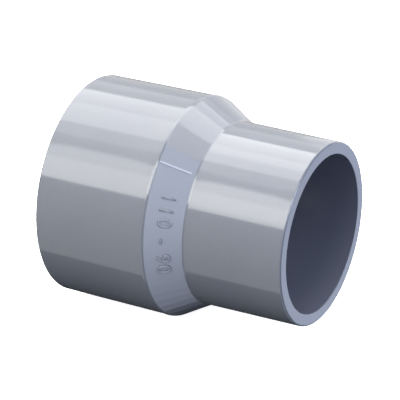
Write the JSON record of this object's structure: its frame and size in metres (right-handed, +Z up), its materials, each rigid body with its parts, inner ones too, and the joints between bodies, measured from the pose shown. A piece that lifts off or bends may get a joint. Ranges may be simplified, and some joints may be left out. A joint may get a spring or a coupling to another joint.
{
  "type": "pipe reducer",
  "caption": "Concentric pipe reducer in grey PVC-U: a large and a small plain socket joined by a short cone, for cementing a wide pipe in line with a narrower one.",
  "frame": {"origin": "centre of the large socket's mouth, on the pipes' common axis", "axes": "+X along the pipes' axis from the large socket to the small one, +Z up as the fitting lies, with a parting line 45 degrees from the top towards -Y"},
  "size_m": [0.1469, 0.1276, 0.1276],
  "materials": {
    "grey_pvc": "glossy moulded grey PVC-U all over, a little duller inside the sockets"
  },
  "bodies": {
    "root": {"reducer_body": "grey_pvc"}
  },
  "joints": []
}
